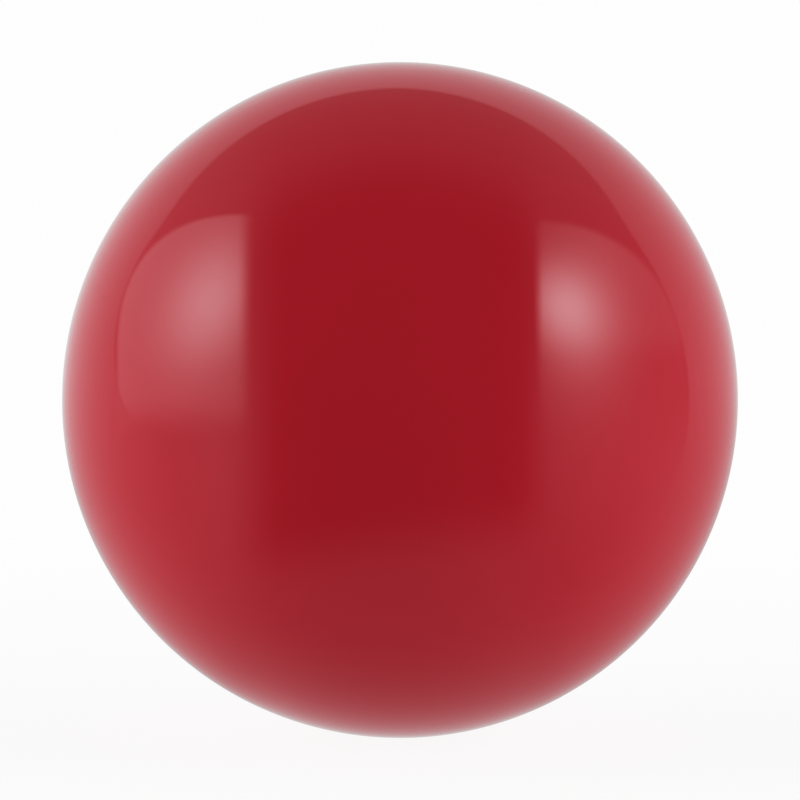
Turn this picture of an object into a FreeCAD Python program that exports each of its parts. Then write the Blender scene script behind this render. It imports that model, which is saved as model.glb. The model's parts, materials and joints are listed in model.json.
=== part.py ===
import FreeCAD, Part
import os

import PartDesign
import Sketcher
from FreeCAD import Vector
from types import SimpleNamespace

# A drilled tenpin bowling ball: a polyester coverstock cast round a filler core, a dense weight
# block with its locator pin, two finger inserts and a twist-lock thumb that lifts out.
#
# Millimetres and degrees. The origin is the centre of the ball, +Z is up and the grip is on the
# +Y side: the thumb is above the grip centre and the two fingers are below it. Each drilled piece
# is made in the frame of its own hole, where z runs outwards along the hole's axis and is counted
# from the centre of the ball, and its Placement then turns it into the ball.

DRIVING_SIZES = {
    # the ball and what is cast inside it
    "ball_radius": 108.6,
    "cover_thickness": 25.0,
    "block_top": 79.0,
    "block_waist_top": 70.0,
    "block_waist_bottom": 62.0,
    "block_bottom": 50.0,
    "block_radius": 36.0,
    "block_top_radius": 18.0,
    "block_bottom_radius": 22.0,
    "pin_radius": 7.5,
    # where the holes are: elevations above the horizon, and turns to the side of the grip line
    "grip_elevation": 12.0,
    "grip_half_span": 36.0,
    "pin_offset": 35.0,
    "finger_bridge": 9.5,
    "finger_pitch": 6.35,
    # the finger holes and their inserts
    "finger_hole_depth": 38.1,
    "insert_radius": 12.3,
    "insert_length": 31.75,
    "middle_bore_radius": 10.3,
    "ring_bore_radius": 10.0,
    "insert_bevel": 0.8,
    "glue_groove_depth": 0.5,
    "glue_groove_width": 2.0,
    "glue_groove_pitch": 7.0,
    # the thumb: depths are below the top of the ball on the thumb's own axis
    "thumb_hole_depth": 70.0,
    "sleeve_radius": 19.05,
    "sleeve_bore_radius": 16.6,
    "seat_radius": 18.0,
    "seat_depth": 5.5,
    "lock_radius": 17.85,
    "lock_roof_depth": 8.5,
    "lock_floor_depth": 12.75,
    "lug_angle": 28.0,
    "lug_side_play": 2.0,
    "lock_turn": 60.0,
    "ring_depth": 24.0,
    "ring_radius": 17.25,
    "ring_section_radius": 0.74,
    "ring_groove_width": 1.9,
    "ring_groove_radius": 18.0,
    "carrier_radius": 16.5,
    "carrier_depth": 62.0,
    "collar_radius": 17.9,
    "lug_radius": 17.7,
    "end_play": 0.05,
    "slug_radius": 15.0,
    "thumb_bore_radius": 12.0,
    "thumb_bore_depth": 50.0,
    "thumb_bevel": 1.8,
    "key_hole_radius": 0.9,
    "key_hole_depth": 3.5,
    "key_circle_radius": 16.45,
    # what every drill leaves, and how far a blank stands out of the ball before it is sanded flush
    "drill_tip_slope": 0.6,
    "sanding_allowance": 1.0,
}

LUG_COUNT = 3
GLUE_GROOVE_COUNT = 3

GRIP_FRAME = "placement(vector(0; 0; 0); rotation(vector(1; 0; 0); {elevation} - 90))"
SIDE_TURN = "placement(vector(0; 0; 0); rotation(vector(0; 1; 0); {turn}))"
OWN_SHIFT = "placement(vector({shift}; 0; {rise}); rotation(vector(0; 1; 0); 0))"


class Measure:
    """A length and the sheet expression behind it, so that what is drawn can then be bound."""

    def __init__(self, value, text):
        self.value = value
        self.text = text

    def __add__(self, other):
        return Measure(self.value + other.value, f"{self.text} + {other.text}")

    def __sub__(self, other):
        return Measure(self.value - other.value, f"{self.text} - ({other.text})")

    def __mul__(self, factor):
        return Measure(self.value * factor, f"({self.text}) * {factor}")

    def scaled_by(self, other):
        return Measure(self.value * other.value, f"({self.text}) * ({other.text})")


AXIS = Measure(0.0, "0")


def make_sheet(doc):
    """Put the driving sizes in a spreadsheet and return them as measures."""
    sheet = doc.addObject("Spreadsheet::Sheet", "Sizes")
    for row, (alias, value) in enumerate(DRIVING_SIZES.items(), start=1):
        sheet.set(f"A{row}", alias)
        sheet.set(f"B{row}", str(value))
        sheet.setAlias(f"B{row}", alias)
    doc.recompute()
    return SimpleNamespace(
        **{alias: Measure(sheet.get(alias), f"Sizes.{alias}") for alias in DRIVING_SIZES}
    )


def bind(item, **sizes):
    """Bind each named property of an object to its measure."""
    for name, measure in sizes.items():
        item.setExpression(name, measure.text)


def origin_plane(body, role):
    return next(plane for plane in body.Origin.OriginFeatures if plane.Role == role)


def draw_outline(body, name, corners):
    """Draw a closed outline on the body's XZ plane and fix each corner's radius and height."""
    sketch = body.newObject("Sketcher::SketchObject", name)
    sketch.AttachmentSupport = (origin_plane(body, "XZ_Plane"), "")
    sketch.MapMode = "FlatFace"
    points = [Vector(radius.value, height.value, 0) for radius, height in corners]
    for start, end in zip(points, points[1:] + points[:1]):
        sketch.addGeometry(Part.LineSegment(start, end), False)
    for edge in range(len(corners)):
        following = (edge + 1) % len(corners)
        sketch.addConstraint(Sketcher.Constraint("Coincident", edge, 2, following, 1))
    for edge, (radius, height) in enumerate(corners):
        if radius is AXIS:
            sketch.addConstraint(Sketcher.Constraint("PointOnObject", edge, 1, -2))
        else:
            fix_corner(sketch, edge, "DistanceX", radius)
        fix_corner(sketch, edge, "DistanceY", height)
    return sketch


def fix_corner(sketch, edge, direction, measure):
    """Bind one coordinate of an edge's first end to a measure counted from the origin."""
    constraint = Sketcher.Constraint(direction, -1, 1, edge, 1, measure.value)
    index = sketch.addConstraint(constraint)
    sketch.renameConstraint(index, f"{direction}_{edge}")
    sketch.setExpression(f"Constraints.{direction}_{edge}", measure.text)


def turned_body(doc, name, corners):
    """Make a body of revolution about its own Z axis from an outline of (radius, height)."""
    body = doc.addObject("PartDesign::Body", name)
    sketch = draw_outline(body, f"{name}_outline", corners)
    turned = body.newObject("PartDesign::Revolution", f"{name}_turned")
    turned.Profile = sketch
    turned.ReferenceAxis = (sketch, ["V_Axis"])
    turned.Angle = 360
    doc.recompute()
    return body


def add_sector(doc, body, kind, radius, bottom, height, first_angle, angle):
    """Add or cut a sector of a round disc in a body, and repeat it for each lug."""
    name = f"{body.Name}_{kind[:3]}_{len(body.Group)}"
    sector = body.newObject(f"PartDesign::{kind}Cylinder", name)
    sector.AttachmentSupport = (origin_plane(body, "XY_Plane"), "")
    sector.MapMode = "FlatFace"
    bind(sector, Radius=radius, Height=height, Angle=angle)
    place = "placement(vector(0; 0; {}); rotation(vector(0; 0; 1); {}))"
    sector.setExpression("AttachmentOffset", place.format(bottom.text, first_angle.text))
    doc.recompute()
    return repeat_round(doc, body, sector, LUG_COUNT)


def repeat_round(doc, body, feature, count):
    """Repeat a feature evenly about the body's Z axis."""
    pattern = body.newObject("PartDesign::PolarPattern", f"{feature.Name}_round")
    pattern.Originals = [feature]
    pattern.Axis = (next(a for a in body.Origin.OriginFeatures if a.Role == "Z_Axis"), [""])
    pattern.Angle = 360
    pattern.Occurrences = count
    body.Tip = pattern
    doc.recompute()
    return pattern


def sphere(doc, name, radius):
    ball = doc.addObject("Part::Sphere", name)
    bind(ball, Radius=radius)
    return ball


def cut(doc, name, base, tool):
    result = doc.addObject("Part::Cut", name)
    result.Base = base
    result.Tool = tool
    return result


def fuse(doc, name, shapes):
    result = doc.addObject("Part::MultiFuse", name)
    result.Shapes = shapes
    return result


def sanded_flush(doc, label, blank, size, ball_centre_x=AXIS):
    """Trim a blank to the surface of the ball, as the finished ball is sanded."""
    ball = sphere(doc, f"{blank.Name}_ball", size.ball_radius)
    ball.setExpression("Placement.Base.x", ball_centre_x.text)
    flush = doc.addObject("Part::Common", label)
    flush.Base = blank
    flush.Tool = ball
    return flush


def place(item, elevation, turn="0", shift="0", rise="0"):
    """Turn a piece's own z axis to an elevation on the grip line, then to the side of it.

    The piece can first be shifted across its own axis and raised along it.
    """
    frame = GRIP_FRAME.format(elevation=elevation)
    side = SIDE_TURN.format(turn=turn)
    offset = OWN_SHIFT.format(shift=shift, rise=rise)
    item.setExpression("Placement", f"{frame} * {side} * {offset}")


def place_at_thumb(item, rise="0"):
    place(item, "Sizes.grip_elevation + Sizes.grip_half_span", rise=rise)


def place_at_pin(item, rise="0"):
    place(item, "Sizes.grip_elevation", turn="Sizes.pin_offset", rise=rise)


def place_at_finger(item, side):
    """The two fingers part by the bridge, and each axis misses the centre by the pitch."""
    spread = "asin((Sizes.insert_radius + Sizes.finger_bridge / 2) / Sizes.ball_radius)"
    miss = "asin(Sizes.finger_pitch / Sizes.ball_radius)"
    place(
        item,
        "Sizes.grip_elevation - Sizes.grip_half_span",
        turn=f"{side} * ({spread} - {miss})",
        shift=f"{side} * Sizes.finger_pitch",
    )


def make_drill(doc, name, size, radius, depth):
    """The space that a pointed drill leaves, down to a depth below the surface."""
    top = size.ball_radius + size.sanding_allowance
    shoulder = size.ball_radius - depth
    tip = shoulder - radius.scaled_by(size.drill_tip_slope)
    return turned_body(doc, name, [(AXIS, tip), (radius, shoulder), (radius, top), (AXIS, top)])


def make_thumb_drill(doc, size):
    """The thumb hole has a flat bottom, for the sleeve to stand on."""
    top = size.ball_radius + size.sanding_allowance
    floor = size.ball_radius - size.thumb_hole_depth
    radius = size.sleeve_radius
    drill = turned_body(
        doc, "thumb_drill", [(AXIS, floor), (radius, floor), (radius, top), (AXIS, top)]
    )
    place_at_thumb(drill)
    return drill


def make_weight_block(doc, size):
    """A pancake of dense filler under the pin, thickest at its waist."""
    block = turned_body(
        doc,
        "weight_block",
        [
            (AXIS, size.block_bottom),
            (size.block_bottom_radius, size.block_bottom),
            (size.block_radius, size.block_waist_bottom),
            (size.block_radius, size.block_waist_top),
            (size.block_top_radius, size.block_top),
            (AXIS, size.block_top),
        ],
    )
    place_at_pin(block)
    return block


def make_pin_rod(doc, name, size):
    """A rod as long as the plug over the weight block, from its foot to past the surface."""
    rod = doc.addObject("Part::Cylinder", name)
    bind(rod, Radius=size.pin_radius)
    bind(rod, Height=size.ball_radius + size.sanding_allowance - size.block_top)
    return rod


def make_locator_pin(doc, size):
    """The plug that held the weight block in its mould."""
    blank = make_pin_rod(doc, "pin_blank", size)
    blank.setExpression("Placement.Base.z", size.block_top.text)
    pin = sanded_flush(doc, "locator_pin", blank, size)
    place_at_pin(pin)
    return pin


def make_pin_hole(doc, size):
    hole = make_pin_rod(doc, "pin_hole", size)
    place_at_pin(hole, rise=size.block_top.text)
    return hole


def make_finger_insert(doc, label, size, bore_radius, side):
    """A soft tube with a bevelled mouth and shallow glue grooves round its outside."""
    top = size.ball_radius + size.sanding_allowance
    bottom = size.ball_radius - size.insert_length
    bevel_foot = size.ball_radius - size.insert_bevel * 2
    outer = size.insert_radius
    neck = outer - size.glue_groove_depth
    corners = [(bore_radius, bottom), (outer, bottom)]
    for groove in range(GLUE_GROOVE_COUNT):
        foot = bottom + size.glue_groove_pitch * (groove + 0.5)
        roof = foot + size.glue_groove_width
        corners += [(outer, foot), (neck, foot), (neck, roof), (outer, roof)]
    flare = size.insert_bevel * 2 + size.sanding_allowance
    corners += [(outer, top), (bore_radius + flare * 0.5, top), (bore_radius, bevel_foot)]
    blank = turned_body(doc, f"{label}_blank", corners)
    insert = sanded_flush(doc, label, blank, size, size.finger_pitch * -side)
    place_at_finger(insert, side)
    return insert


def make_outer_sleeve(doc, size):
    """The sleeve glued in the ball, with a seat for the collar, bayonet slots and a ring groove."""
    top = size.ball_radius + size.sanding_allowance
    seat = size.ball_radius - size.seat_depth
    floor = size.ball_radius - size.thumb_hole_depth
    ring_middle = size.ball_radius - size.ring_depth
    ring_roof = ring_middle + size.ring_groove_width * 0.5
    ring_floor = ring_middle - size.ring_groove_width * 0.5
    bore = size.sleeve_bore_radius
    blank = turned_body(
        doc,
        "outer_sleeve_blank",
        [
            (bore, floor),
            (size.sleeve_radius, floor),
            (size.sleeve_radius, top),
            (size.seat_radius, top),
            (size.seat_radius, seat),
            (bore, seat),
            (bore, ring_roof),
            (size.ring_groove_radius, ring_roof),
            (size.ring_groove_radius, ring_floor),
            (bore, ring_floor),
        ],
    )
    lock_floor = size.ball_radius - size.lock_floor_depth
    slot_height = size.lock_floor_depth - size.seat_depth
    lock_height = size.lock_floor_depth - size.lock_roof_depth
    slot_angle = size.lug_angle + size.lug_side_play * 2
    first_angle = slot_angle * -0.5
    reach = slot_angle + size.lock_turn
    add_sector(
        doc, blank, "Subtractive", size.lock_radius, lock_floor, slot_height, first_angle, slot_angle
    )
    add_sector(
        doc, blank, "Subtractive", size.lock_radius, lock_floor, lock_height, first_angle, reach
    )
    sleeve = sanded_flush(doc, "thumb_outer_sleeve", blank, size)
    place_at_thumb(sleeve)
    return sleeve


def make_inner_sleeve(doc, size):
    """The carrier glued on the slug, with its collar, bayonet lugs and two key holes."""
    top = size.ball_radius + size.sanding_allowance
    foot = size.ball_radius - size.carrier_depth
    collar_foot = size.ball_radius - size.seat_depth + size.end_play
    blank = turned_body(
        doc,
        "inner_sleeve_blank",
        [
            (AXIS, foot),
            (size.carrier_radius, foot),
            (size.carrier_radius, collar_foot),
            (size.collar_radius, collar_foot),
            (size.collar_radius, top),
            (AXIS, top),
        ],
    )
    lug_foot = size.ball_radius - size.lock_floor_depth + size.end_play * 2
    lug_height = size.lock_floor_depth - size.lock_roof_depth - size.end_play * 4
    add_sector(
        doc,
        blank,
        "Additive",
        size.lug_radius,
        lug_foot,
        lug_height,
        size.lug_angle * -0.5,
        size.lug_angle,
    )
    bore_through(doc, blank, size.slug_radius, foot, top - foot)
    cut_key_holes(doc, blank, size)
    sleeve = sanded_flush(doc, "thumb_inner_sleeve", blank, size)
    place_at_thumb(sleeve)
    return sleeve


def bore_through(doc, body, radius, bottom, height):
    bore = body.newObject("PartDesign::SubtractiveCylinder", f"{body.Name}_bore")
    bore.AttachmentSupport = (origin_plane(body, "XY_Plane"), "")
    bore.MapMode = "FlatFace"
    bind(bore, Radius=radius, Height=height)
    bore.setExpression("AttachmentOffset.Base.z", bottom.text)
    body.Tip = bore
    doc.recompute()


def cut_key_holes(doc, body, size):
    """Two blind holes in the collar take the pegs of the key that turns the thumb."""
    hole = body.newObject("PartDesign::SubtractiveCylinder", f"{body.Name}_key_hole")
    hole.AttachmentSupport = (origin_plane(body, "XY_Plane"), "")
    hole.MapMode = "FlatFace"
    bind(hole, Radius=size.key_hole_radius, Height=size.key_hole_depth + size.sanding_allowance)
    hole.setExpression("AttachmentOffset.Base.x", size.key_circle_radius.text)
    foot = size.ball_radius - size.key_hole_depth
    hole.setExpression("AttachmentOffset.Base.z", foot.text)
    doc.recompute()
    repeat_round(doc, body, hole, 2)


def make_thumb_slug(doc, size):
    """The solid slug that is drilled to fit the thumb, with a bevelled mouth."""
    top = size.ball_radius + size.sanding_allowance
    foot = size.ball_radius - size.carrier_depth
    shoulder = size.ball_radius - size.thumb_bore_depth
    bore = size.thumb_bore_radius
    tip = shoulder - bore.scaled_by(size.drill_tip_slope)
    bevel_foot = size.ball_radius - size.thumb_bevel * 2
    flare = size.thumb_bevel * 2 + size.sanding_allowance
    blank = turned_body(
        doc,
        "thumb_slug_blank",
        [
            (AXIS, foot),
            (size.slug_radius, foot),
            (size.slug_radius, top),
            (bore + flare * 0.4, top),
            (bore, bevel_foot),
            (bore, shoulder),
            (AXIS, tip),
        ],
    )
    slug = sanded_flush(doc, "thumb_slug", blank, size)
    place_at_thumb(slug)
    return slug


def make_o_ring(doc, size):
    """The ring that grips the carrier, in its groove in the outer sleeve."""
    ring = doc.addObject("Part::Torus", "thumb_o_ring")
    bind(ring, Radius1=size.ring_radius, Radius2=size.ring_section_radius)
    place_at_thumb(ring, rise=f"{size.ball_radius.text} - {size.ring_depth.text}")
    return ring


def make_ball(doc, size, holes, block, pin_hole):
    """The cover and the filler core are cast round the block and then drilled."""
    core_radius = size.ball_radius - size.cover_thickness
    shell = cut(
        doc,
        "cover_shell",
        sphere(doc, "cover_outside", size.ball_radius),
        sphere(doc, "cover_inside", core_radius),
    )
    cover = cut(doc, "coverstock", shell, fuse(doc, "cover_holes", holes + [pin_hole]))
    core = cut(
        doc,
        "outer_core",
        sphere(doc, "core_outside", core_radius),
        fuse(doc, "core_holes", holes + [pin_hole, block]),
    )
    return [cover, core]


def check_objects(doc, pieces):
    """Stop before anything is written if an object failed or a piece isn't one sound solid."""
    for item in doc.Objects:
        if "Invalid" in item.State or "Error" in item.State:
            raise RuntimeError(f"{item.Name} failed: {item.State}")
    for piece in pieces:
        if piece.Shape.isNull() or not piece.Shape.isValid():
            raise RuntimeError(f"{piece.Label} has no sound shape")
        if len(piece.Shape.Solids) != 1:
            raise RuntimeError(f"{piece.Label} has {len(piece.Shape.Solids)} solids")


def main():
    doc = FreeCAD.newDocument("bowling_ball")
    size = make_sheet(doc)
    holes = [make_thumb_drill(doc, size)]
    for name, side in (("middle_finger_drill", -1), ("ring_finger_drill", 1)):
        drill = make_drill(doc, name, size, size.insert_radius, size.finger_hole_depth)
        place_at_finger(drill, side)
        holes.append(drill)
    block = make_weight_block(doc, size)
    pieces = [
        block,
        make_locator_pin(doc, size),
        make_finger_insert(doc, "middle_finger_insert", size, size.middle_bore_radius, -1),
        make_finger_insert(doc, "ring_finger_insert", size, size.ring_bore_radius, 1),
        make_outer_sleeve(doc, size),
        make_inner_sleeve(doc, size),
        make_thumb_slug(doc, size),
        make_o_ring(doc, size),
    ]
    pieces += make_ball(doc, size, holes, block, make_pin_hole(doc, size))
    doc.recompute()
    check_objects(doc, pieces)
    os.makedirs("parts", exist_ok=True)
    for piece in pieces:
        piece.Shape.exportStep(f"parts/{piece.Label}.step")
        print(f"{piece.Label}: {piece.Shape.Volume / 1000:.2f} cm3")


main()
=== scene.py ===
"""A glossy red bowling ball on a pale table, in a studio with two soft boxes and a pale surround.

Metres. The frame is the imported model's: the ball's centre is the origin, +Z is up and the camera
looks along +Y at the plain side, so the grip is on the far side.
"""

import json
import math

import bpy
import numpy as np
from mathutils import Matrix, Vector


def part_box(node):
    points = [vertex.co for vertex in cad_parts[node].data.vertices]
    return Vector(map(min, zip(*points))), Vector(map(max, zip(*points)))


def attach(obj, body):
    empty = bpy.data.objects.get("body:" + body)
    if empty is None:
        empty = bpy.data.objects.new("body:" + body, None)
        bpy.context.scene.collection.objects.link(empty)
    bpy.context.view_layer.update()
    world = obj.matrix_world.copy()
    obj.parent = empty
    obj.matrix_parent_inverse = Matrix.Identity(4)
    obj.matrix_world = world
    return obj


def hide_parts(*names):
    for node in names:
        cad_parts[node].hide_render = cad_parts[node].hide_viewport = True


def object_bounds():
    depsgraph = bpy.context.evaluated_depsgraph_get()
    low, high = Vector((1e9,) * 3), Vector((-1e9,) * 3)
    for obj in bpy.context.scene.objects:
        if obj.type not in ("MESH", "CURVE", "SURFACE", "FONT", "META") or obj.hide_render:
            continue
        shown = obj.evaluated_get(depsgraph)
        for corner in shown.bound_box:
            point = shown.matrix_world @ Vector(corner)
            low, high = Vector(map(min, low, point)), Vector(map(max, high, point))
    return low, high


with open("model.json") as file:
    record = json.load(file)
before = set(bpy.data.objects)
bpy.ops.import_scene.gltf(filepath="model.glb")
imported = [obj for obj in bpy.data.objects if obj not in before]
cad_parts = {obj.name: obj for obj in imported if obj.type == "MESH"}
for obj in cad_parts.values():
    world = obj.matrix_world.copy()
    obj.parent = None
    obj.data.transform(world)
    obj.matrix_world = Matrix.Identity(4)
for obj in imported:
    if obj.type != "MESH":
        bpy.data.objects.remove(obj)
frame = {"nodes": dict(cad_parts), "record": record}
cad_lo, cad_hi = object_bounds()

MM = 0.001
BALL_CENTRE = Vector((0.0, 0.0, 0.0))
BALL_RADIUS = cad_hi.z

# The camera: a long lens a little above the ball's middle.
CAMERA_ELEVATION = math.radians(4.0)
LENS_MM = 180.0
SENSOR_MM = 36.0
BALL_SHARE_OF_FRAME = 0.845

# How bright the camera sees the ground behind the ball and the bare table.
WHITE = 0.985

# The table is lit through from below. Near the ball, this part of its light comes from above.
TABLE_LIT_PART = 0.08
LIGHT_ON_TABLE = 0.85
LIT_NEAR = 0.10
LIT_FAR = 0.60
TABLE_HALF_SIDE = 8.0

# The camera's tone curve, scene light to shown light: an S that darkens the shadows.
TONE_CURVE = ((0.05, 0.025), (0.15, 0.11), (0.33, 0.335), (0.48, 0.53), (0.75, 0.78))

# Sizes of the drilled pieces, as in the CAD.
INSERT_RADIUS = 12.3 * MM
INSERT_LENGTH = 31.75 * MM
SLEEVE_RADIUS = 19.05 * MM
SLUG_RADIUS = 15.0 * MM
SLUG_LENGTH = 62.0 * MM
THUMB_DEPTH = 50.0 * MM
DRILL_TIP_SLOPE = 0.6

# The small chamfer that the cover's holes get at the surface.
RIM_CHAMFER = 0.3 * MM

# How finely the pieces are meshed.
RING_SEGMENTS = 144
OUTSIDE_PATCH_STEPS = 96
INSIDE_PATCH_STEPS = 24
SHARP_ANGLE = math.radians(28)
WELD_DISTANCE = 0.004 * MM

PLASTIC_IOR = 1.5

# Places of Blender's sockets and curves that have no name of their own.
MIX_FIRST_COLOUR = 6
MIX_SECOND_COLOUR = 7
MIX_COLOUR_RESULT = 2
ALL_CHANNELS_CURVE = 3


# ---------------------------------------------------------------- node helpers


class Nodes:
    """Small wrapper that adds shader nodes and links values into them."""

    def __init__(self, tree):
        self.tree = tree
        tree.nodes.clear()

    def add(self, kind, settings=None, **inputs):
        node = self.tree.nodes.new(kind)
        for name, value in (settings or {}).items():
            setattr(node, name, value)
        for name, value in inputs.items():
            self.feed(node.inputs[name.replace("_", " ")], value)
        return node

    def feed(self, socket, value):
        if isinstance(value, bpy.types.NodeSocket):
            self.tree.links.new(value, socket)
        else:
            socket.default_value = value

    def math(self, operation, *values):
        node = self.tree.nodes.new("ShaderNodeMath")
        node.operation = operation
        for socket, value in zip(node.inputs, values):
            self.feed(socket, value)
        return node.outputs[0]

    def vector(self, operation, *values):
        node = self.tree.nodes.new("ShaderNodeVectorMath")
        node.operation = operation
        for socket, value in zip(node.inputs, values):
            self.feed(socket, value)
        return node.outputs["Value" if operation in ("DOT_PRODUCT", "LENGTH") else "Vector"]

    def step(self, value, low, high):
        """0 below low and 1 above high, smooth between; low may be the larger one."""
        node = self.tree.nodes.new("ShaderNodeMapRange")
        node.interpolation_type = "SMOOTHSTEP"
        first, last = (low, high) if low < high else (high, low)
        self.feed(node.inputs["Value"], value)
        node.inputs["From Min"].default_value = first
        node.inputs["From Max"].default_value = last
        node.inputs["To Min"].default_value = 0.0 if low < high else 1.0
        node.inputs["To Max"].default_value = 1.0 if low < high else 0.0
        return node.outputs["Result"]

    def product(self, *values):
        result = values[0]
        for value in values[1:]:
            result = self.math("MULTIPLY", result, value)
        return result

    def total(self, *values):
        result = values[0]
        for value in values[1:]:
            result = self.math("ADD", result, value)
        return result

    def opposite(self, value):
        return self.math("SUBTRACT", 1.0, value)


# ---------------------------------------------------------------- the studio


def towards_camera():
    return Vector((0, -math.cos(CAMERA_ELEVATION), math.sin(CAMERA_ELEVATION)))


def camera_up():
    return Vector((0, math.sin(CAMERA_ELEVATION), math.cos(CAMERA_ELEVATION)))


def mirror_place(nodes, direction):
    """Where the camera sees a direction mirrored, in ball radii right of and above the middle."""
    half = nodes.vector("NORMALIZE", nodes.vector("ADD", direction, towards_camera()[:]))
    across = nodes.vector("DOT_PRODUCT", half, (1, 0, 0))
    up = nodes.vector("DOT_PRODUCT", half, camera_up()[:])
    return across, up


def glow(nodes, across, up, centre, spread, strength, lean=0.0):
    """A soft oval spot of light, which leans sideways as it rises."""
    rise = nodes.math("SUBTRACT", up, centre[1])
    run = nodes.math("SUBTRACT", across, centre[0])
    run = nodes.math("SUBTRACT", run, nodes.math("MULTIPLY", rise, lean))
    x = nodes.math("DIVIDE", run, spread[0])
    z = nodes.math("DIVIDE", rise, spread[1])
    square = nodes.total(nodes.math("MULTIPLY", x, x), nodes.math("MULTIPLY", z, z))
    fall = nodes.math("EXPONENT", nodes.math("MULTIPLY", square, -0.5))
    return nodes.math("MULTIPLY", fall, strength)


def rounded(nodes, x, z, power):
    """1 on the outline of a rectangle with round corners, less inside.

    x and z are shares of its half sides, and a higher power makes squarer corners.
    """
    both = nodes.total(nodes.math("POWER", x, power), nodes.math("POWER", z, power))
    return nodes.math("POWER", both, 1.0 / power)


def above_zero(nodes, value):
    return nodes.math("MAXIMUM", value, 0.0)


def surround(nodes, direction):
    """1 on the pale panel behind the ball, 0 off it.

    Sizes are in the panel's distance from the ball. The top runs uphill to the right, and the
    left side spreads outwards below a shoulder.
    """
    middle_height, rise = 1.18, 0.23
    left_width, shoulder, left_spread = 1.58, 0.92, 2.1
    right_width = 2.28
    behind = nodes.vector("DOT_PRODUCT", direction, (-towards_camera())[:])
    ahead = nodes.math("MAXIMUM", behind, 0.001)
    x = nodes.math("DIVIDE", nodes.vector("DOT_PRODUCT", direction, (1, 0, 0)), ahead)
    z = nodes.math("DIVIDE", nodes.vector("DOT_PRODUCT", direction, camera_up()[:]), ahead)
    rightwards = above_zero(nodes, x)
    leftwards = above_zero(nodes, nodes.math("MULTIPLY", x, -1.0))
    height = nodes.total(middle_height, nodes.product(rightwards, rise))
    top = nodes.math("DIVIDE", above_zero(nodes, z), height)
    low = above_zero(nodes, nodes.math("SUBTRACT", shoulder, z))
    left_half = nodes.total(left_width, nodes.product(low, low, left_spread))
    left = rounded(nodes, nodes.math("DIVIDE", leftwards, left_half), top, power=12.0)
    right = rounded(nodes, nodes.math("DIVIDE", rightwards, right_width), top, power=8.0)
    outline = nodes.math("MAXIMUM", left, right)
    return nodes.product(nodes.step(outline, 1.05, 0.95), nodes.step(behind, 0.0, 0.02))


def box_outline(nodes, across, up, centre, halves, power):
    """1 along a soft box's far and top edges, which the round ball bends into an arc."""
    x = nodes.math("ABSOLUTE", nodes.math("SUBTRACT", across, centre[0]))
    z = above_zero(nodes, nodes.math("SUBTRACT", up, centre[1]))
    x_share = nodes.math("DIVIDE", x, halves[0])
    z_share = nodes.math("DIVIDE", z, halves[1])
    return rounded(nodes, x_share, z_share, power)


def left_box(nodes, across, up):
    """The soft box on the left: its cloth, and the lamp behind it."""
    even_light = nodes.product(nodes.step(up, -0.115, 0.02), 0.69)
    lamp = glow(
        nodes, across, up, centre=(-0.54, 0.28), spread=(0.09, 0.125), strength=3.0, lean=0.25
    )
    outline = box_outline(
        nodes, across, up, centre=(-0.45, 0.14), halves=(0.37, 0.395), power=2.4
    )
    cloth = nodes.product(nodes.step(across, -0.415, -0.47), nodes.step(outline, 1.02, 0.97))
    return nodes.product(cloth, nodes.total(even_light, lamp))


def right_box(nodes, across, up):
    """The soft box on the right: its cloth, the lamp behind it and the lamp's wider spill."""
    even_light = nodes.product(nodes.step(up, 0.10, 0.21), 0.24)
    lamp = glow(
        nodes, across, up, centre=(0.465, 0.27), spread=(0.07, 0.08), strength=3.1, lean=-0.22
    )
    spill = glow(nodes, across, up, centre=(0.52, 0.23), spread=(0.095, 0.15), strength=2.0)
    outline = box_outline(
        nodes, across, up, centre=(0.40, 0.10), halves=(0.42, 0.415), power=2.1
    )
    cloth = nodes.product(nodes.step(across, 0.378, 0.414), nodes.step(outline, 1.03, 0.96))
    return nodes.product(cloth, nodes.total(even_light, lamp, spill))


def side_walls(nodes, across, up, left, right):
    """The walls beside the ball: each is evenly lit, with a broad glow of its own."""
    left_wall, right_wall = 0.21, 0.37
    left_glow = glow(nodes, across, up, centre=(-0.18, 0.0), spread=(0.46, 0.46), strength=0.78)
    right_glow = glow(
        nodes, across, up, centre=(0.575, -0.14), spread=(0.18, 0.18), strength=0.25
    )
    return nodes.total(
        nodes.product(left, nodes.total(left_wall, left_glow)),
        nodes.product(right, nodes.total(right_wall, right_glow)),
    )


def table_glow(nodes, across, up, out, between):
    """What the ball mirrors of the lit table, whose edge runs slightly uphill to the right."""
    slope, table_light, rim_light, rim_fall = 0.14, 0.425, 0.255, 0.10
    edge = nodes.total(up, nodes.math("MULTIPLY", across, -slope))
    middle = nodes.product(between, nodes.step(edge, -0.29, -0.52), table_light)
    below = nodes.step(up, 0.05, -0.29)
    rightwards_fall = nodes.product(above_zero(nodes, across), -rim_fall)
    rim = nodes.product(
        below, nodes.step(out, 0.68, 1.0), nodes.total(rim_light, rightwards_fall)
    )
    return nodes.total(middle, rim)


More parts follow.
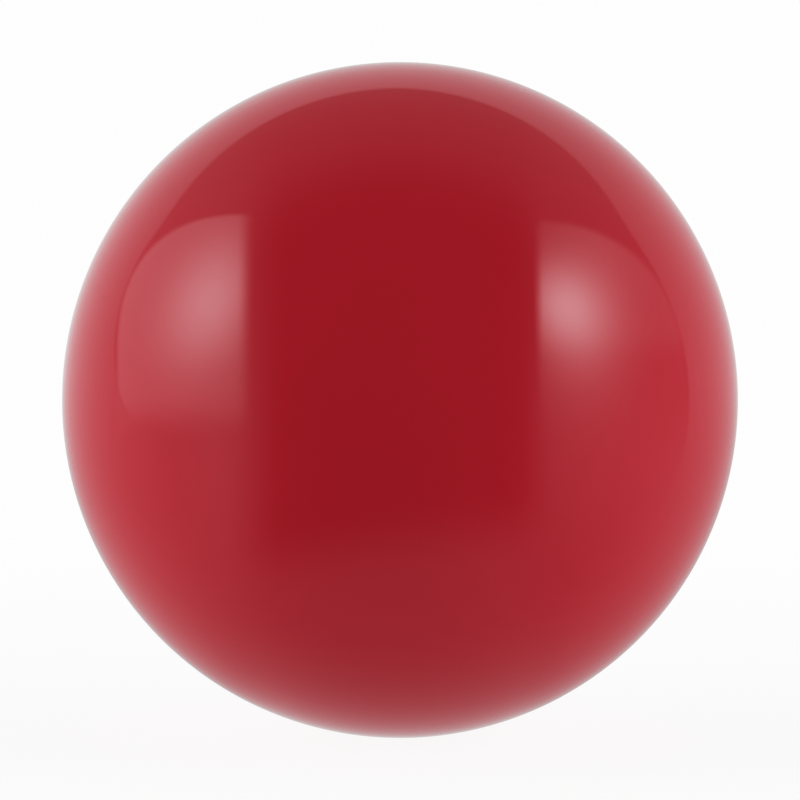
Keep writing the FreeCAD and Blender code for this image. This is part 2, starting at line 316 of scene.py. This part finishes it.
def studio_light(nodes, direction):
    """The brightness of the studio in each direction, as one socket."""
    panel_even, panel_gain, ceiling_light = 0.70, 0.10, 0.33
    across, up = mirror_place(nodes, direction)
    out = nodes.math("SQRT", nodes.total(nodes.product(across, across), nodes.product(up, up)))
    panel = nodes.product(surround(nodes, direction), nodes.step(up, -0.31, 0.08))
    leftmost = nodes.step(across, -0.28, -0.88)
    panel_light = nodes.total(panel_even, nodes.product(leftmost, panel_gain))
    left = nodes.step(across, -0.32, -0.53)
    right = nodes.step(across, 0.31, 0.46)
    between = nodes.opposite(nodes.total(left, right))
    ceiling = nodes.product(
        between, nodes.step(out, 0.545, 0.79), nodes.step(up, 0.0, 0.05), ceiling_light
    )
    room = nodes.total(
        left_box(nodes, across, up),
        right_box(nodes, across, up),
        side_walls(nodes, across, up, left, right),
        ceiling,
    )
    return nodes.total(
        nodes.product(nodes.opposite(panel), room),
        nodes.product(panel, panel_light),
        table_glow(nodes, across, up, out, between),
    )


def make_world():
    """The camera sees plain white, and everything else is lit by the studio."""
    world = bpy.data.worlds.new("studio")
    bpy.context.scene.world = world
    world.use_nodes = True
    nodes = Nodes(world.node_tree)
    direction = nodes.add("ShaderNodeTexCoord").outputs["Generated"]
    light = nodes.add(
        "ShaderNodeBackground", Color=(1, 1, 1, 1), Strength=studio_light(nodes, direction)
    )
    white = nodes.add("ShaderNodeBackground", Color=(1, 1, 1, 1), Strength=WHITE)
    seen = nodes.add("ShaderNodeLightPath").outputs["Is Camera Ray"]
    mix = nodes.add("ShaderNodeMixShader", Fac=seen)
    nodes.feed(mix.inputs[1], light.outputs[0])
    nodes.feed(mix.inputs[2], white.outputs[0])
    nodes.add("ShaderNodeOutputWorld", Surface=mix.outputs[0])


def make_soft_light(name, azimuth, elevation, distance, side, power):
    """A large soft lamp that fills the colour of things but isn't mirrored in them."""
    data = bpy.data.lights.new(name, "AREA")
    data.shape = "SQUARE"
    data.size = side
    data.energy = power
    lamp = bpy.data.objects.new(name, data)
    bpy.context.scene.collection.objects.link(lamp)
    a, e = math.radians(azimuth), math.radians(elevation)
    out = Vector((math.sin(a) * math.cos(e), -math.cos(a) * math.cos(e), math.sin(e)))
    lamp.location = BALL_CENTRE + out * distance
    lamp.rotation_euler = out.to_track_quat("Z", "Y").to_euler()
    lamp.visible_glossy = False
    lamp.visible_camera = False


def make_lights():
    for name, azimuth, elevation, power in (
        ("low_fill", 0, -35, 2.85),
        ("front_fill", 30, 10, 1.45),
    ):
        make_soft_light(name, azimuth, elevation, distance=1.4, side=0.8, power=power)


def make_table():
    """A pale table lit through from below, so the ball throws only a faint shadow on it."""
    mesh = bpy.data.meshes.new("table")
    side = TABLE_HALF_SIDE
    z = cad_lo.z
    corners = [(-side, -side, z), (side, -side, z), (side, side, z), (-side, side, z)]
    mesh.from_pydata(corners, [], [(0, 1, 2, 3)])
    table = bpy.data.objects.new("table", mesh)
    bpy.context.scene.collection.objects.link(table)
    material = bpy.data.materials.new("pale_table")
    material.use_nodes = True
    nodes = Nodes(material.node_tree)
    place = nodes.add("ShaderNodeNewGeometry").outputs["Position"]
    away = nodes.vector("LENGTH", nodes.vector("MULTIPLY", place, (1.0, 1.0, 0.0)))
    lit = nodes.math("MULTIPLY", nodes.step(away, LIT_FAR, LIT_NEAR), TABLE_LIT_PART)
    tone = nodes.math("MULTIPLY", lit, WHITE / LIGHT_ON_TABLE)
    colour = nodes.add("ShaderNodeCombineColor", Red=tone, Green=tone, Blue=tone)
    surface = nodes.add("ShaderNodeBsdfDiffuse", Color=colour.outputs[0])
    from_below = nodes.math("MULTIPLY", nodes.opposite(lit), WHITE)
    through = nodes.add("ShaderNodeEmission", Color=(1, 1, 1, 1), Strength=from_below)
    both = nodes.add("ShaderNodeAddShader")
    nodes.feed(both.inputs[0], surface.outputs[0])
    nodes.feed(both.inputs[1], through.outputs[0])
    nodes.add("ShaderNodeOutputMaterial", Surface=both.outputs[0])
    mesh.materials.append(material)
    table.visible_glossy = False
    table.visible_diffuse = False
    table.visible_shadow = False


def make_camera():
    data = bpy.data.cameras.new("camera")
    data.lens = LENS_MM
    data.sensor_width = SENSOR_MM
    camera = bpy.data.objects.new("camera", data)
    bpy.context.scene.collection.objects.link(camera)
    half_view = SENSOR_MM / 2 / LENS_MM
    half_ball = math.atan(half_view * BALL_SHARE_OF_FRAME)
    distance = BALL_RADIUS / math.sin(half_ball)
    camera.location = BALL_CENTRE + towards_camera() * distance
    camera.rotation_euler = towards_camera().to_track_quat("Z", "Y").to_euler()
    bpy.context.scene.camera = camera


def set_tone_curve():
    view = bpy.context.scene.view_settings
    view.view_transform = "Standard"
    view.look = "None"
    view.use_curve_mapping = True
    mapping = view.curve_mapping
    mapping.extend = "EXTRAPOLATED"
    curve = mapping.curves[ALL_CHANNELS_CURVE]
    for light, shown in TONE_CURVE:
        curve.points.new(light, shown)
    mapping.update()


# ---------------------------------------------------------------- holes


class Hole:
    """A drilled hole's own frame.

    Heights run outwards along its axis, from the point on it that is nearest the ball's centre.
    """

    def __init__(self, point, axis):
        self.axis = Vector(axis).normalized()
        from_centre = Vector(point) - BALL_CENTRE
        self.foot = from_centre - self.axis * from_centre.dot(self.axis)
        self.side = self.axis.orthogonal().normalized()
        self.other = self.axis.cross(self.side)

    def across(self, radius, turn):
        return self.foot + (self.side * math.cos(turn) + self.other * math.sin(turn)) * radius

    def point(self, radius, turn, height):
        return BALL_CENTRE + self.across(radius, turn) + self.axis * height

    def surface(self, radius, turn):
        """The height of the ball's surface at a radius from the axis."""
        return math.sqrt(BALL_RADIUS**2 - self.across(radius, turn).length_squared)

    def flush(self, radius, drop=0.0):
        """A ring that keeps a drop below the ball's surface all round."""
        return radius, lambda turn: self.surface(radius, turn) - drop

    def level(self, radius, height):
        """A flat ring."""
        return radius, lambda turn: height

    def deep(self, radius, depth):
        """A flat ring, its height given as a depth below the ball's radius."""
        return self.level(radius, BALL_RADIUS - depth)


def mount_hole(name):
    mount = next(m for m in frame["record"]["mounts"] if m["name"] == name)
    return Hole(mount["pos_m"], mount["axis"]), mount["dims"]["r_mm"] * MM


def pin_hole():
    """The pin's hole, its radius and the height of its foot, all read from the CAD's pin.

    The axis runs from the ball's centre through the middle of the pin's round foot.
    """
    points = [v.co - BALL_CENTRE for v in frame["nodes"]["locator_pin"].data.vertices]
    low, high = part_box("locator_pin")
    towards = ((low + high) / 2 - BALL_CENTRE).normalized()
    lowest = min(p.dot(towards) for p in points)
    foot_top = lowest + 0.4 * MM
    rim = {tuple(round(c, 6) for c in p) for p in points if p.dot(towards) < foot_top}
    middle = sum((Vector(p) for p in rim), Vector()) / len(rim)
    radius = max((Vector(p) - middle).length for p in rim)
    return Hole(BALL_CENTRE, middle), radius, middle.length


# ---------------------------------------------------------------- turned pieces


def turned_faces(hole, rings, closed, points, faces):
    """Append a turned surface.

    Each ring is a radius and a function that gives its height at each turn about the axis. The
    faces look outwards when the rings run from inside the foot, up the outside and in at the top.
    """
    turns = [2 * math.pi * k / RING_SEGMENTS for k in range(RING_SEGMENTS)]
    placed = []
    for radius, height in rings:
        count = 1 if radius == 0.0 else RING_SEGMENTS
        placed.append([len(points) + k for k in range(count)])
        points.extend(hole.point(radius, turn, height(turn)) for turn in turns[:count])
    following = placed[1:] + placed[:1] if closed else placed[1:]
    for low, high in zip(placed, following):
        for k in range(RING_SEGMENTS):
            after = (k + 1) % RING_SEGMENTS
            if len(low) == 1:
                faces.append((low[0], high[after], high[k]))
            elif len(high) == 1:
                faces.append((low[k], low[after], high[0]))
            else:
                faces.append((low[k], low[after], high[after], high[k]))


def mesh_of(name, points, faces, materials):
    data = bpy.data.meshes.new(name)
    data.from_pydata(points, [], faces)
    for material in materials:
        data.materials.append(material)
    data.polygons.foreach_set("use_smooth", [True] * len(data.polygons))
    data.set_sharp_from_angle(angle=SHARP_ANGLE)
    data.update()
    return data


def add_piece(name, data, body, node):
    """Add a piece that rides a body and stands for a CAD node."""
    piece = bpy.data.objects.new(name, data)
    bpy.context.scene.collection.objects.link(piece)
    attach(piece, body)
    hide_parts(node)


def add_turned(name, hole, rings, closed, material, body, node):
    """Add a turned piece, whose rings run up its inside and down its outside."""
    points, faces = [], []
    turned_faces(hole, rings[::-1], closed, points, faces)
    add_piece(name, mesh_of(name, points, faces, [material]), body, node)


def rounded_mouth(hole, bore, flare, drop, count=10):
    """Rings from the bore up and over a quarter of an ellipse to the ball's surface."""
    rings = []
    for k in range(count + 1):
        angle = math.pi / 2 * k / count
        radius = bore + flare * (1 - math.cos(angle))
        rings.append(hole.flush(radius, drop * (1 - math.sin(angle))))
    return rings


def make_insert(finger, material):
    """A soft finger insert: a tube with a rounded mouth, flush with the ball."""
    hole, bore = mount_hole(f"{finger}_hole")
    rings = [hole.deep(bore, INSERT_LENGTH)]
    rings += rounded_mouth(hole, bore, flare=1.1 * MM, drop=2.0 * MM)
    rings += [
        hole.flush(INSERT_RADIUS - 0.4 * MM),
        hole.flush(INSERT_RADIUS - 0.12 * MM, 0.05 * MM),
        hole.flush(INSERT_RADIUS, 0.2 * MM),
        hole.deep(INSERT_RADIUS, INSERT_LENGTH),
    ]
    node = f"{finger}_insert"
    add_turned(f"{node}_skin", hole, rings, True, material, "ball", node)


def make_slug(material):
    """The thumb slug: solid below its drilled hole, with a generous hand-worked bevel."""
    hole, bore = mount_hole("thumb_hole")
    rings = [
        hole.deep(0.0, THUMB_DEPTH + bore * DRILL_TIP_SLOPE),
        hole.deep(bore - 0.5 * MM, THUMB_DEPTH + 0.4 * MM),
        hole.deep(bore, THUMB_DEPTH - 0.3 * MM),
    ]
    rings += rounded_mouth(hole, bore, flare=2.2 * MM, drop=4.2 * MM, count=14)
    rings += [
        hole.flush(SLUG_RADIUS - 0.15 * MM),
        hole.flush(SLUG_RADIUS, 0.15 * MM),
        hole.deep(SLUG_RADIUS, SLUG_LENGTH),
        hole.deep(0.0, SLUG_LENGTH),
    ]
    add_turned(
        "thumb_slug_skin", hole, rings, False, material, "thumb", "thumb_slug"
    )


def make_pin(material):
    """The locator pin, polished flush with the cover."""
    hole, radius, foot = pin_hole()
    steps = 16
    rings = [hole.flush(radius * k / steps) for k in range(steps + 1)]
    rings += [hole.level(radius, foot), hole.level(0.0, foot)]
    add_turned("pin_skin", hole, rings, False, material, "ball", "locator_pin")


# ---------------------------------------------------------------- the cover


def add_globe(radius, count, outward, points, faces):
    """Append a sphere made of six square patches, whose faces look outwards or inwards."""
    grid = np.tan(np.linspace(-1, 1, count + 1) * math.pi / 4)
    a, b = np.meshgrid(grid, grid, indexing="ij")
    one = np.ones_like(a)
    patches = (
        (a, b, one), (b, a, -one), (one, a, b), (-one, b, a), (b, one, a), (a, -one, b),
    )
    # Patches share the points on their edges.
    index = {}
    for patch in patches:
        place = np.stack(patch, axis=-1)
        place *= radius / np.linalg.norm(place, axis=-1, keepdims=True)
        names = np.empty((count + 1, count + 1), int)
        for i in range(count + 1):
            for j in range(count + 1):
                key = tuple(np.round(place[i, j], 7))
                if key not in index:
                    index[key] = len(points)
                    points.append(BALL_CENTRE + Vector(place[i, j]))
                names[i, j] = index[key]
        for i in range(count):
            for j in range(count):
                quad = (names[i, j], names[i + 1, j], names[i + 1, j + 1], names[i, j + 1])
                faces.append(quad if outward else quad[::-1])


def add_drill(hole, radius, bottom, chamfer, points, faces):
    """Append the space of a drilled hole, from a flat bottom to past the ball's surface.

    A chamfer widens it at 45 degrees from a little below the surface.
    """
    past = 3.0 * MM
    rings = [hole.level(0.0, bottom), hole.level(radius, bottom)]
    if chamfer > 0.0:
        rings.append(hole.flush(radius, chamfer))
        widest = radius + past
        rings.append((widest, lambda turn: hole.surface(radius, turn) - chamfer + past))
    else:
        rings.append(hole.level(radius, BALL_RADIUS + past))
    rings.append(hole.level(0.0, BALL_RADIUS + past))
    turned_faces(hole, rings, False, points, faces)


def make_cover(outside, drilled):
    """The polyester cover: a thick shell with the grip and the pin drilled through it."""
    core_low, core_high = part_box("outer_core")
    inner_radius = (core_high.z - core_low.z) / 2
    materials = [outside, drilled]
    points, faces = [], []
    add_globe(BALL_RADIUS, OUTSIDE_PATCH_STEPS, True, points, faces)
    add_globe(inner_radius, INSIDE_PATCH_STEPS, False, points, faces)
    shell = bpy.data.objects.new("ball_cover", mesh_of("ball_cover", points, faces, materials))
    points, faces = [], []
    # The drills end well inside the space of the filler.
    bottom = inner_radius * 0.8
    for mount in ("middle_finger_hole", "ring_finger_hole"):
        add_drill(mount_hole(mount)[0], INSERT_RADIUS, bottom, RIM_CHAMFER, points, faces)
    add_drill(mount_hole("thumb_hole")[0], SLEEVE_RADIUS, bottom, RIM_CHAMFER, points, faces)
    pin, pin_radius, _ = pin_hole()
    add_drill(pin, pin_radius, bottom, 0.0, points, faces)
    drills = bpy.data.objects.new("drills", mesh_of("drills", points, faces, materials))
    drilled_index = materials.index(drilled)
    drills.data.polygons.foreach_set("material_index", [drilled_index] * len(faces))
    for item in (shell, drills):
        bpy.context.scene.collection.objects.link(item)
    cutter = shell.modifiers.new("drilled", "BOOLEAN")
    cutter.operation = "DIFFERENCE"
    cutter.solver = "EXACT"
    cutter.object = drills
    weld = shell.modifiers.new("weld", "WELD")
    weld.merge_threshold = WELD_DISTANCE
    bpy.context.view_layer.update()
    evaluated = shell.evaluated_get(bpy.context.evaluated_depsgraph_get())
    data = bpy.data.meshes.new_from_object(evaluated)
    data.name = "ball_cover"
    bpy.data.objects.remove(drills)
    bpy.data.objects.remove(shell)
    shade_round(data)
    add_piece("ball_cover", data, "ball", "coverstock")


def shade_round(data):
    """Give the outside of the cover the exact normals of a sphere, and keep all others."""
    data.set_sharp_from_angle(angle=SHARP_ANGLE)
    nearly_outside = BALL_RADIUS * 0.9
    normals = np.zeros((len(data.loops), 3), np.float32)
    for face in data.polygons:
        if face.material_index == 0 and face.center.length > nearly_outside:
            for loop in face.loop_indices:
                point = data.vertices[data.loops[loop].vertex_index].co - BALL_CENTRE
                normals[loop] = point.normalized()
    data.normals_split_custom_set(normals.tolist())


# ---------------------------------------------------------------- materials


def new_material(name):
    material = bpy.data.materials.new(name)
    material.use_nodes = True
    nodes = Nodes(material.node_tree)
    place = nodes.add("ShaderNodeTexCoord").outputs["Object"]
    return material, nodes, place


def noise(nodes, place, scale, detail=3.0, roughness=0.5):
    return nodes.add(
        "ShaderNodeTexNoise", Vector=place, Scale=scale, Detail=detail, Roughness=roughness
    ).outputs["Fac"]


def spread(nodes, value, low, high):
    """Stretch the middle half of a 0 to 1 noise over a range, and hold the rest at its ends."""
    node = nodes.add("ShaderNodeMapRange", Value=value)
    node.inputs["From Min"].default_value = 0.25
    node.inputs["From Max"].default_value = 0.75
    node.inputs["To Min"].default_value = low
    node.inputs["To Max"].default_value = high
    return node.outputs["Result"]


def two_tone(nodes, value, first, second):
    mix = nodes.add("ShaderNodeMix", {"data_type": "RGBA"})
    nodes.feed(mix.inputs["Factor"], value)
    nodes.feed(mix.inputs[MIX_FIRST_COLOUR], (*first, 1.0))
    nodes.feed(mix.inputs[MIX_SECOND_COLOUR], (*second, 1.0))
    return mix.outputs[MIX_COLOUR_RESULT]


def bump(nodes, height, strength, distance):
    return nodes.add(
        "ShaderNodeBump", Height=height, Strength=strength, Distance=distance
    ).outputs["Normal"]


def finish_surface(nodes, colour, roughness, normal=None, **inputs):
    surface = nodes.add(
        "ShaderNodeBsdfPrincipled", Base_Color=colour, Roughness=roughness, **inputs
    )
    if normal is not None:
        nodes.feed(surface.inputs["Normal"], normal)
    nodes.add("ShaderNodeOutputMaterial", Surface=surface.outputs[0])


def cover_material():
    """Polished solid-red polyester, with the faint haze and swirls that polishing leaves."""
    material, nodes, place = new_material("red_polyester")
    cloud = noise(nodes, place, scale=14.0, detail=2.0)
    colour = two_tone(nodes, cloud, (0.625, 0.0430, 0.0705), (0.655, 0.0455, 0.0755))
    drift = nodes.add("ShaderNodeTexNoise", Vector=place, Scale=9.0).outputs["Color"]
    warped = nodes.vector("ADD", place, drift)
    swirls = noise(nodes, warped, scale=260.0, detail=6.0, roughness=0.7)
    haze = spread(nodes, swirls, low=0.022, high=0.038)
    ripple = bump(nodes, noise(nodes, place, scale=520.0), strength=0.02, distance=0.02 * MM)
    finish_surface(nodes, colour, haze, ripple, IOR=PLASTIC_IOR)
    return material


def drilled_material():
    """The same polyester inside the holes, left dull and grainy by the drill."""
    material, nodes, place = new_material("drilled_polyester")
    grain = noise(nodes, place, scale=900.0, detail=4.0)
    colour = two_tone(nodes, grain, (0.42, 0.030, 0.045), (0.56, 0.045, 0.065))
    sheen = spread(nodes, grain, low=0.35, high=0.55)
    finish_surface(nodes, colour, sheen, bump(nodes, grain, strength=0.4, distance=0.1 * MM))
    return material


def pin_material():
    """Off-white plastic with a slight marbling, polished with the ball."""
    material, nodes, place = new_material("pin_plastic")
    marble = noise(nodes, place, scale=160.0, detail=5.0)
    veins = spread(nodes, marble, low=0.0, high=1.0)
    colour = two_tone(nodes, veins, (0.80, 0.75, 0.62), (0.90, 0.87, 0.78))
    finish_surface(nodes, colour, spread(nodes, marble, low=0.04, high=0.08), IOR=PLASTIC_IOR)
    return material


def moulded_material(name, dark, light, rough):
    """Moulded or sanded plastic: fine grain in its colour, its sheen and its surface."""
    material, nodes, place = new_material(name)
    fine_share = 0.6
    fine = noise(nodes, place, scale=1400.0, detail=4.0, roughness=0.65)
    broad = noise(nodes, place, scale=90.0, detail=3.0)
    both = nodes.total(
        nodes.product(fine, fine_share), nodes.product(broad, 1.0 - fine_share)
    )
    colour = two_tone(nodes, spread(nodes, both, low=0.0, high=1.0), dark, light)
    sheen = spread(nodes, both, low=rough - 0.06, high=rough + 0.08)
    finish_surface(nodes, colour, sheen, bump(nodes, fine, strength=0.25, distance=0.06 * MM))
    return material


def filler_material(name, dark, light):
    """Cast filler: a chalky, rough binder with coarse speckles."""
    material, nodes, place = new_material(name)
    speckle_share = 0.5
    speckle = nodes.add("ShaderNodeTexVoronoi", Vector=place, Scale=700.0).outputs["Distance"]
    cloud = noise(nodes, place, scale=240.0, detail=5.0)
    both = nodes.total(
        nodes.product(speckle, speckle_share), nodes.product(cloud, 1.0 - speckle_share)
    )
    colour = two_tone(nodes, spread(nodes, both, low=0.0, high=1.0), dark, light)
    sheen = spread(nodes, cloud, low=0.6, high=0.8)
    finish_surface(nodes, colour, sheen, bump(nodes, both, strength=0.5, distance=0.2 * MM))
    return material


def dress_node(name, material):
    """Give a carried-over CAD node its material."""
    for slot in frame["nodes"][name].material_slots:
        slot.material = material


def weld_node(name):
    """Close the slivers that meshing leaves at a CAD node's poles and drill tips."""
    weld = frame["nodes"][name].modifiers.new("weld", "WELD")
    weld.merge_threshold = WELD_DISTANCE


make_world()
make_lights()
make_table()
make_camera()
set_tone_curve()

make_cover(cover_material(), drilled_material())
make_pin(pin_material())
vinyl = moulded_material(
    "insert_vinyl", dark=(0.040, 0.040, 0.043), light=(0.075, 0.075, 0.080), rough=0.46
)
for finger in ("middle_finger", "ring_finger"):
    make_insert(finger, vinyl)
urethane = moulded_material(
    "slug_urethane", dark=(0.030, 0.030, 0.033), light=(0.060, 0.060, 0.065), rough=0.32
)
make_slug(urethane)

core_filler = filler_material("core_filler", dark=(0.46, 0.40, 0.29), light=(0.74, 0.68, 0.54))
block_filler = filler_material(
    "block_filler", dark=(0.16, 0.17, 0.20), light=(0.34, 0.36, 0.40)
)
outer_plastic = moulded_material(
    "outer_sleeve_plastic", dark=(0.045, 0.045, 0.050), light=(0.080, 0.080, 0.088), rough=0.38
)
inner_plastic = moulded_material(
    "inner_sleeve_plastic", dark=(0.34, 0.35, 0.36), light=(0.46, 0.47, 0.48), rough=0.36
)
rubber = moulded_material(
    "ring_rubber", dark=(0.010, 0.010, 0.010), light=(0.022, 0.022, 0.022), rough=0.55
)
dress_node("outer_core", core_filler)
dress_node("weight_block", block_filler)
dress_node("thumb_outer_sleeve", outer_plastic)
dress_node("thumb_inner_sleeve", inner_plastic)
dress_node("thumb_o_ring", rubber)
weld_node("outer_core")
